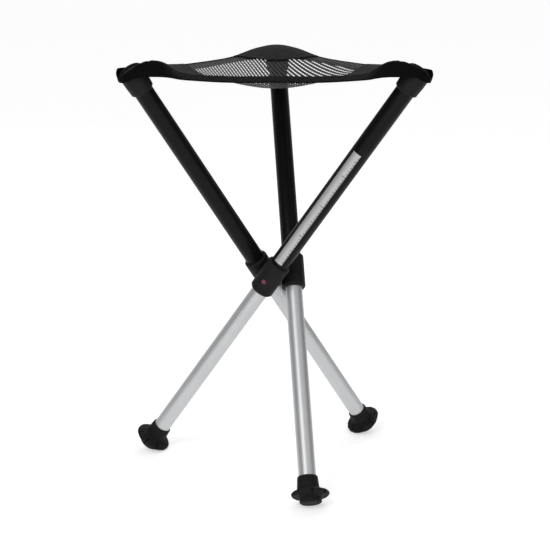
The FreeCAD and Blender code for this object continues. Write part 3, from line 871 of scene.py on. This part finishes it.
    def patch_limit(self, r: float, side: Side) -> float:
        """How far a corner's cloth reaches to one side, at a distance from the hub's axis.

        Args:
            r: Distance from the hub's axis, measured towards the corner.
            side: The side to reach to.

        Returns:
            The reach across, positive on the side ahead.
        """
        plan = self.plan
        corner = polar(1, plan.azimuth(self.leg))
        across = polar(1, plan.azimuth(self.leg) + 90)
        along = plan.ways(self.leg, side)[1]
        low, high = 0.0, self.patch_widest
        halvings = 24
        for _ in range(halvings):
            middle = (low + high) / 2
            point = corner * r + across * (middle * side.value)
            t = point.dot(along)
            upper, outward = plan.station(self.leg, side, min(t, plan.straight_half))[1:]
            clear = upper.dot(outward) - point.dot(outward) > self.edge_clearance
            if t > plan.straight_half:
                from_hood = (point - corner * plan.corner_radius).length - plan.hood_radius
                clear = clear and from_hood > self.edge_clearance
            low, high = (middle, high) if clear else (low, middle)
        return low * side.value

    def patch(self) -> Piece:
        """The close cloth over the seat's corner."""
        plan = self.plan
        corner = polar(1, plan.azimuth(self.leg))
        across = polar(1, plan.azimuth(self.leg) + 90)
        near = plan.corner_radius - plan.band_radius - plan.patch_reach
        far = plan.corner_radius - plan.hood_radius - self.patch_end_gap
        rows = self.patch_rows
        limits = []
        for i in range(rows + 1):
            r = near + (far - near) * i / rows
            limits.append((self.patch_limit(r, Side.BEHIND), self.patch_limit(r, Side.AHEAD)))

        def place(u: float, v: float) -> Vector:
            """The cloth's point: u from the hub outwards, v across."""
            low, high = limits[min(rows, round(u * rows))]
            point = corner * (near + (far - near) * u) + across * (low + (high - low) * v)
            point.z = plan.height(point.x, point.y) + self.patch_lift
            if self.leg is Leg.REAR:
                point.z += self.rear_crown * smooth(u, *self.crown_span) * 4 * v * (1 - v)
            return point

        piece = cloth_grid(self.name("seat_corner_cloth"), rows, self.patch_columns, place)
        thicken(piece, self.patch_thickness, rounding=self.patch_rounding, offset=1)
        shade(piece)
        dress(piece, self.finishes["seat_cloth"])
        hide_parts(self.name("corner_patch"))
        self.band_nodes()
        return piece

    def band_nodes(self) -> list[str]:
        """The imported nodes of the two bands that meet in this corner."""
        return [f"{self.plan.edge(self.leg, side).name}_seat_band" for side in Side]

    def opening_reach(self, angle: float) -> float:
        """The opening's half width in a direction round the leg's axis."""
        across, along = abs(math.cos(angle)), abs(math.sin(angle))
        half = self.opening_stretch / 2
        if self.opening_radius * along <= half * across:
            return self.opening_radius / across
        return half * along + math.sqrt(self.opening_radius ** 2 - (half * across) ** 2)

    def hood(self) -> None:
        """The sewn hood over the leg's cap, with its oval opening."""
        plan, layout = self.plan, self.plan.layout
        middle = plan.hood_radius - plan.hood_thickness / 2
        shoulder = plan.cap_shoulder + plan.hood_gap + plan.hood_thickness / 2
        end = plan.cap_end_at + plan.hood_gap + plan.hood_thickness / 2
        first = math.asin((plan.cap_end_at - self.hood_depth - end + shoulder) / shoulder)
        bent = self.hood_bend

        def place(u: float, v: float) -> Vector:
            """The hood's point: u round the leg, v from the foot over the shoulder to the opening."""
            angle = 2 * math.pi * u
            if v < bent:
                lift = first + (math.pi / 2 - first) * v / bent
                radius = middle - shoulder * (1 - math.cos(lift))
                s = end - shoulder * (1 - math.sin(lift))
            else:
                share = (v - bent) / (1 - bent)
                radius = (middle - shoulder) * (1 - share) + self.opening_reach(angle) * share
                s = end
            return layout.point(self.leg, radius * math.cos(angle), radius * math.sin(angle), s)

        piece = cloth_grid(self.name("corner_hood"), self.hood_columns, self.hood_rows, place)
        pick(piece)
        bpy.ops.object.mode_set(mode="EDIT")
        bpy.ops.mesh.select_all(action="SELECT")
        bpy.ops.mesh.remove_doubles(threshold=0.01 * MM)
        bpy.ops.mesh.normals_make_consistent(inside=False)
        bpy.ops.object.mode_set(mode="OBJECT")
        thicken(piece, plan.hood_thickness, rounding=self.hood_rounding)
        shade(piece)
        dress(piece, self.finishes["seat_cloth"])
        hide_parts(self.name("corner_sleeve"))
        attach(piece, f"{self.leg.label}_leg")
        cap = self.name("top_cap")
        log.info("%s made", piece.name)

    def build(self) -> None:
        """Makes the corner's pieces, and hangs the hood on the leg."""
        self.hood()
        for side, node in zip(Side, self.band_nodes()):
            band = self.band(side)
            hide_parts(node)
            self.plan.sew_on(band, self.leg)
            self.plan.sew_on(self.band_stitches(side), self.leg)
        self.plan.sew_on(self.patch(), self.leg)


@dataclass
class SeatNet:
    """The see-through middle of the seat: an open net of coated yarn, in one part for each corner.

    The grain is the azimuth that the yarn runs at, in degrees. Holes are shares of a cell's pitch.
    """

    plan: SeatPlan
    finishes: dict[str, bpy.types.Material]
    grain: float = 104.0
    pitch_across: float = 5.2 * MM
    pitch_along: float = 8.0 * MM
    hole_across: float = 0.35
    hole_along: float = 0.92
    thickness: float = 0.25 * MM
    drop: float = 0.6 * MM
    edge_gap: float = 0.3 * MM
    patch_lap: float = 12 * MM
    overhang: float = 1.2
    inset: float = 0.2

    def __post_init__(self) -> None:
        """Works out the turn from the yarn's way to the stool's frame."""
        self.turn = Matrix.Rotation(math.radians(self.grain), 3, "Z")

    def spot(self, along: float, across: float) -> Vector:
        """The plan point at these numbers of cells along and across the yarn."""
        return self.turn @ Vector((along * self.pitch_along, across * self.pitch_across, 0))

    def wanted(self, point: Vector) -> bool:
        """Whether a cell with this middle belongs to the net."""
        plan = self.plan
        near = plan.corner_radius - plan.band_radius - plan.patch_reach + self.patch_lap
        if any(point.dot(polar(1, plan.azimuth(leg))) > near for leg in Leg):
            return False
        return all(inside > 0 for inside, _, _ in plan.edges_near(point.x, point.y))

    def pulled(self, point: Vector) -> Vector:
        """A point of the net's border, carried to the webbing's inner edge if that is close."""
        for inside, _, outward in self.plan.edges_near(point.x, point.y):
            if abs(inside) < self.pitch_along:
                point = point + outward * (inside - self.edge_gap)
        return point

    def nearest(self, point: Vector) -> Leg:
        """The corner that a plan point is nearest to."""
        return max(Leg, key=lambda leg: point.dot(polar(1, self.plan.azimuth(leg))))

    def flat_cells(self) -> Piece:
        """The net with its holes, still in one piece."""
        count_across = 2 * int(self.overhang * self.plan.reach / self.pitch_across)
        count_along = 2 * int(self.overhang * self.plan.reach / self.pitch_along)
        deselect()
        bpy.ops.mesh.primitive_grid_add(x_subdivisions=count_along, y_subdivisions=count_across, size=1)
        piece = bpy.context.object
        piece.name = "seat_net"
        piece.data.transform(Matrix.Diagonal((count_along, count_across, 1, 1)))
        work = bmesh.new()
        work.from_mesh(piece.data)
        unwanted = []
        for face in work.faces:
            middle = face.calc_center_median()
            if not self.wanted(self.spot(middle.x, middle.y)):
                unwanted.append(face)
        bmesh.ops.delete(work, geom=unwanted, context="FACES")
        border = {(round(v.co.x), round(v.co.y)) for v in work.verts if v.is_boundary}
        work.to_mesh(piece.data)
        work.free()
        pick(piece)
        bpy.ops.object.mode_set(mode="EDIT")
        bpy.ops.mesh.select_all(action="SELECT")
        bpy.ops.mesh.inset(thickness=self.inset, use_individual=True)
        bpy.ops.object.mode_set(mode="OBJECT")
        self.open_holes(piece, border)
        return piece

    def open_holes(self, piece: Piece, border: set[tuple[int, int]]) -> None:
        """Shapes each cell's hole, takes its middle out, and lays the net at its real size.

        Args:
            piece: The net in cells of 1 by 1.
            border: The net's outer corners, in cells.
        """
        work = bmesh.new()
        work.from_mesh(piece.data)
        area = (1 - 2 * self.inset) ** 2
        near_enough = 0.02
        holes = [face for face in work.faces if abs(face.calc_area() - area) < near_enough]
        for face in holes:
            middle = face.calc_center_median()
            for vertex in face.verts:
                vertex.co.x = middle.x + math.copysign(self.hole_along / 2, vertex.co.x - middle.x)
                vertex.co.y = middle.y + math.copysign(self.hole_across / 2, vertex.co.y - middle.y)
        bmesh.ops.delete(work, geom=holes, context="FACES_ONLY")
        for vertex in work.verts:
            cell = (round(vertex.co.x), round(vertex.co.y))
            outer = cell in border and (vertex.co.xy - Vector(cell)).length < near_enough
            spot = self.spot(vertex.co.x, vertex.co.y)
            if outer:
                spot = self.pulled(spot)
            vertex.co = Vector((spot.x, spot.y, self.plan.height(spot.x, spot.y) - self.drop))
        work.to_mesh(piece.data)
        work.free()

    def build(self) -> None:
        """Makes the net and parts it by corner."""
        whole = self.flat_cells()
        for leg in Leg:
            part = whole.copy()
            part.data = whole.data.copy()
            part.name = f"{leg.label}_seat_net"
            part.data.name = part.name
            bpy.context.scene.collection.objects.link(part)
            work = bmesh.new()
            work.from_mesh(part.data)
            other = [face for face in work.faces if self.nearest(self.cell_middle(face)) is not leg]
            bmesh.ops.delete(work, geom=other, context="FACES")
            work.to_mesh(part.data)
            work.free()
            ahead = Vector(polar(1, self.plan.azimuth(leg)).xy)
            thicken(part, self.thickness, offset=1)
            dress(part, self.finishes["seat_mesh"])
            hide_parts("seat_panel")
            self.plan.sew_on(part, leg)
        bpy.data.objects.remove(whole)

    def cell_middle(self, face: bmesh.types.BMFace) -> Vector:
        """The middle of the cell that a face of the net belongs to."""
        spot = self.turn.transposed() @ face.calc_center_median()
        along = math.floor(spot.x / self.pitch_along) + 0.5
        across = math.floor(spot.y / self.pitch_across) + 0.5
        return self.spot(along, across)


@dataclass
class LabelMarks:
    """Plain tick marks along the foil strip on the right leg's tube. Angles are in degrees round it."""

    layout: Layout
    finishes: dict[str, bpy.types.Material]
    radius: float = 12.5 * MM + 0.3 * MM
    start: float = 33 * MM
    length: float = 186 * MM
    half_angle: float = 28.5
    pitch: float = 5 * MM
    tick_width: float = 0.7 * MM
    tick_angles: tuple[float, float, float] = (22.0, 13.0, 7.0)
    line_angle: float = 1.5
    end_inset: float = 1.5 * MM
    thickness: float = 0.06 * MM

    def strip(self, low: float, high: float, s: float, width: float) -> Piece:
        """One printed line across the strip, between two angles in degrees."""

        def place(u: float, v: float) -> Vector:
            """The line's point: u across the strip, v along the tube."""
            angle = math.radians(low + (high - low) * u)
            radius = self.radius + self.thickness
            x, y = radius * math.cos(angle), radius * math.sin(angle)
            return self.layout.point(Leg.RIGHT, x, y, s + width * v)

        return cloth_grid("tick", 8, 1, place)

    def build(self) -> None:
        """Makes the ticks and the two thin edge lines."""
        marks = []
        long, middling, short = self.tick_angles
        inner = self.half_angle - 2 * self.line_angle
        for index in range(1, int(self.length / self.pitch)):
            reach = long if index % 10 == 0 else (middling if index % 5 == 0 else short)
            at = self.start + index * self.pitch
            marks.append(self.strip(inner - reach, inner, at, self.tick_width))
        start, length = self.start + self.end_inset, self.length - 2 * self.end_inset
        for low in (-self.half_angle + self.line_angle, inner):
            marks.append(self.strip(low, low + self.line_angle, start, length))
        piece = joined("label_ticks", marks)
        thicken(piece, self.thickness, offset=1)
        dress(piece, self.finishes["black_plastic"])
        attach(piece, "right_leg")
        log.info("label_ticks made")


@dataclass(frozen=True)
class Lamp:
    """A square soft lamp: its place, its width and its power in watts."""

    name: str
    at: tuple[float, float, float]
    size: float
    power: float


LAMPS: tuple[Lamp, ...] = (
    Lamp("key_light", (-1.6, -2.2, 2.4), 1.6, 32.0),
    Lamp("fill_light", (2.2, -1.4, 1.2), 1.8, 10.0),
    Lamp("rim_light", (0.8, 2.0, 1.8), 1.4, 10.0),
)


@dataclass
class Studio:
    """The floor, the lamps and the camera."""

    hub_height: float
    camera_from_hub: tuple[float, float, float] = (-211.1, -1977.3, 459.8)
    right: tuple[float, float, float] = (0.99437, -0.10592, 0.0)
    up: tuple[float, float, float] = (0.02379, 0.22335, 0.97445)
    back: tuple[float, float, float] = (-0.1032, -0.96897, 0.22461)
    lens: float = 99.9
    sensor: float = 36.0
    floor_size: float = 60.0
    floor_glow: float = 0.52
    sky_light: float = 0.5
    lamp_aim: float = 0.3
    card_size: float = 1.6
    card_aside: float = 1.4
    card_at: tuple[float, float] = (-0.2, 0.85)

    def build(self) -> None:
        """Sets the floor, the lamps, the sky and the camera."""
        self.floor()
        self.sky()
        self.card("dark_card_left", -self.card_aside)
        self.card("dark_card_right", self.card_aside)
        for lamp in LAMPS:
            self.hang(lamp)
        self.camera()
        bpy.context.scene.view_settings.view_transform = "Standard"

    def floor(self) -> None:
        """A pale floor that stays white in the picture but keeps the soft shadow."""
        deselect()
        bpy.ops.mesh.primitive_plane_add(size=self.floor_size)
        floor = bpy.context.object
        floor.name = "studio_floor"
        sockets = Sockets("studio_floor")
        sockets.surface(Base_Color=(0.9, 0.9, 0.9, 1), Roughness=0.9, Specular_IOR_Level=0.1)
        glow = sockets.node("Emission", Color=(1, 1, 1, 1))
        seen = self.seen_directly(sockets)
        sockets.join(sockets.range(seen, 0.0, self.floor_glow), glow.inputs["Strength"])
        total = sockets.node("AddShader")
        sockets.join(sockets.shader.outputs[0], total.inputs[0])
        sockets.join(glow.outputs[0], total.inputs[1])
        sockets.join(total.outputs[0], sockets.tree.nodes["Material Output"].inputs["Surface"])
        floor.data.materials.append(sockets.material)

    def seen_directly(self, sockets: Sockets) -> Socket:
        """1 for rays from the eye, from gloss and through glass, else 0."""
        path = sockets.node("LightPath")
        eye = sockets.blend("MAXIMUM", path.outputs["Is Camera Ray"], path.outputs["Is Glossy Ray"])
        return sockets.blend("MAXIMUM", eye, path.outputs["Is Transmission Ray"])

    def card(self, name: str, x: float) -> None:
        """Stands a dark card at one side, unseen by the camera, which shades the bright tubes' edges."""
        deselect()
        bpy.ops.mesh.primitive_plane_add(size=self.card_size)
        card = bpy.context.object
        card.name = name
        card.data.transform(Matrix.Translation((x, *self.card_at)) @ Matrix.Rotation(math.pi / 2, 4, "Y"))
        sockets = Sockets(name)
        sockets.surface(Base_Color=(0.02, 0.02, 0.02, 1), Roughness=0.9, Specular_IOR_Level=0.0)
        card.data.materials.append(sockets.material)
        card.visible_camera = False

    def sky(self) -> None:
        """A white backdrop to the eye, and a plain soft light on the stool."""
        world = bpy.data.worlds.new("studio_sky")
        bpy.context.scene.world = world
        world.use_nodes = True
        tree = world.node_tree
        sky = tree.nodes["Background"]
        path = tree.nodes.new("ShaderNodeLightPath")
        strength = tree.nodes.new("ShaderNodeMapRange")
        strength.inputs["To Min"].default_value = self.sky_light
        strength.inputs["To Max"].default_value = 1.0
        sky.inputs["Color"].default_value = (1, 1, 1, 1)
        tree.links.new(path.outputs["Is Camera Ray"], strength.inputs["Value"])
        tree.links.new(strength.outputs["Result"], sky.inputs["Strength"])

    def hang(self, lamp: Lamp) -> None:
        """Hangs a lamp that points at the stool's middle."""
        data = bpy.data.lights.new(lamp.name, "AREA")
        data.size = lamp.size
        data.energy = lamp.power
        hung = bpy.data.objects.new(lamp.name, data)
        hung.location = lamp.at
        aim = Vector((0, 0, self.lamp_aim)) - Vector(lamp.at)
        hung.rotation_euler = aim.to_track_quat("-Z", "Y").to_euler()
        bpy.context.scene.collection.objects.link(hung)

    def camera(self) -> None:
        """The camera at the photograph's place."""
        data = bpy.data.cameras.new("photo_camera")
        data.lens = self.lens
        data.sensor_width = self.sensor
        camera = bpy.data.objects.new("photo_camera", data)
        turn = Matrix((self.right, self.up, self.back)).transposed().to_4x4()
        eye = Vector((0, 0, self.hub_height)) + Vector(self.camera_from_hub) * MM
        camera.matrix_world = Matrix.Translation(eye) @ turn
        bpy.context.scene.collection.objects.link(camera)
        bpy.context.scene.camera = camera


class Stool:
    """The whole stool, dressed."""

    def __init__(self, frame: dict) -> None:
        """Reads the frame and makes the finishes."""
        self.frame = frame
        self.layout = Layout.read(frame["joints"])
        self.finishes = {finish.slot: finish.make() for finish in FINISHES}

    def dress_nodes(self) -> None:
        """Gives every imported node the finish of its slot."""
        for part in self.frame["record"]["subparts"]:
            node = self.frame["nodes"][part["node"]]
            for slot in node.material_slots:
                slot.material = self.finishes[part["material_slot"]]

    def build(self) -> None:
        """Makes every piece in order."""
        self.dress_nodes()
        plan = SeatPlan(self.layout)
        for leg in Leg:
            SeatCorner(plan, leg, self.finishes).build()
        SeatNet(plan, self.finishes).build()
        LabelMarks(self.layout, self.finishes).build()
        Studio(self.layout.hub_height).build()


def main() -> None:
    """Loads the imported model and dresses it."""
    logging.basicConfig(level=logging.INFO, format="%(message)s")
    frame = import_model()
    Stool(frame).build()


if __name__ == "__main__":
    main()
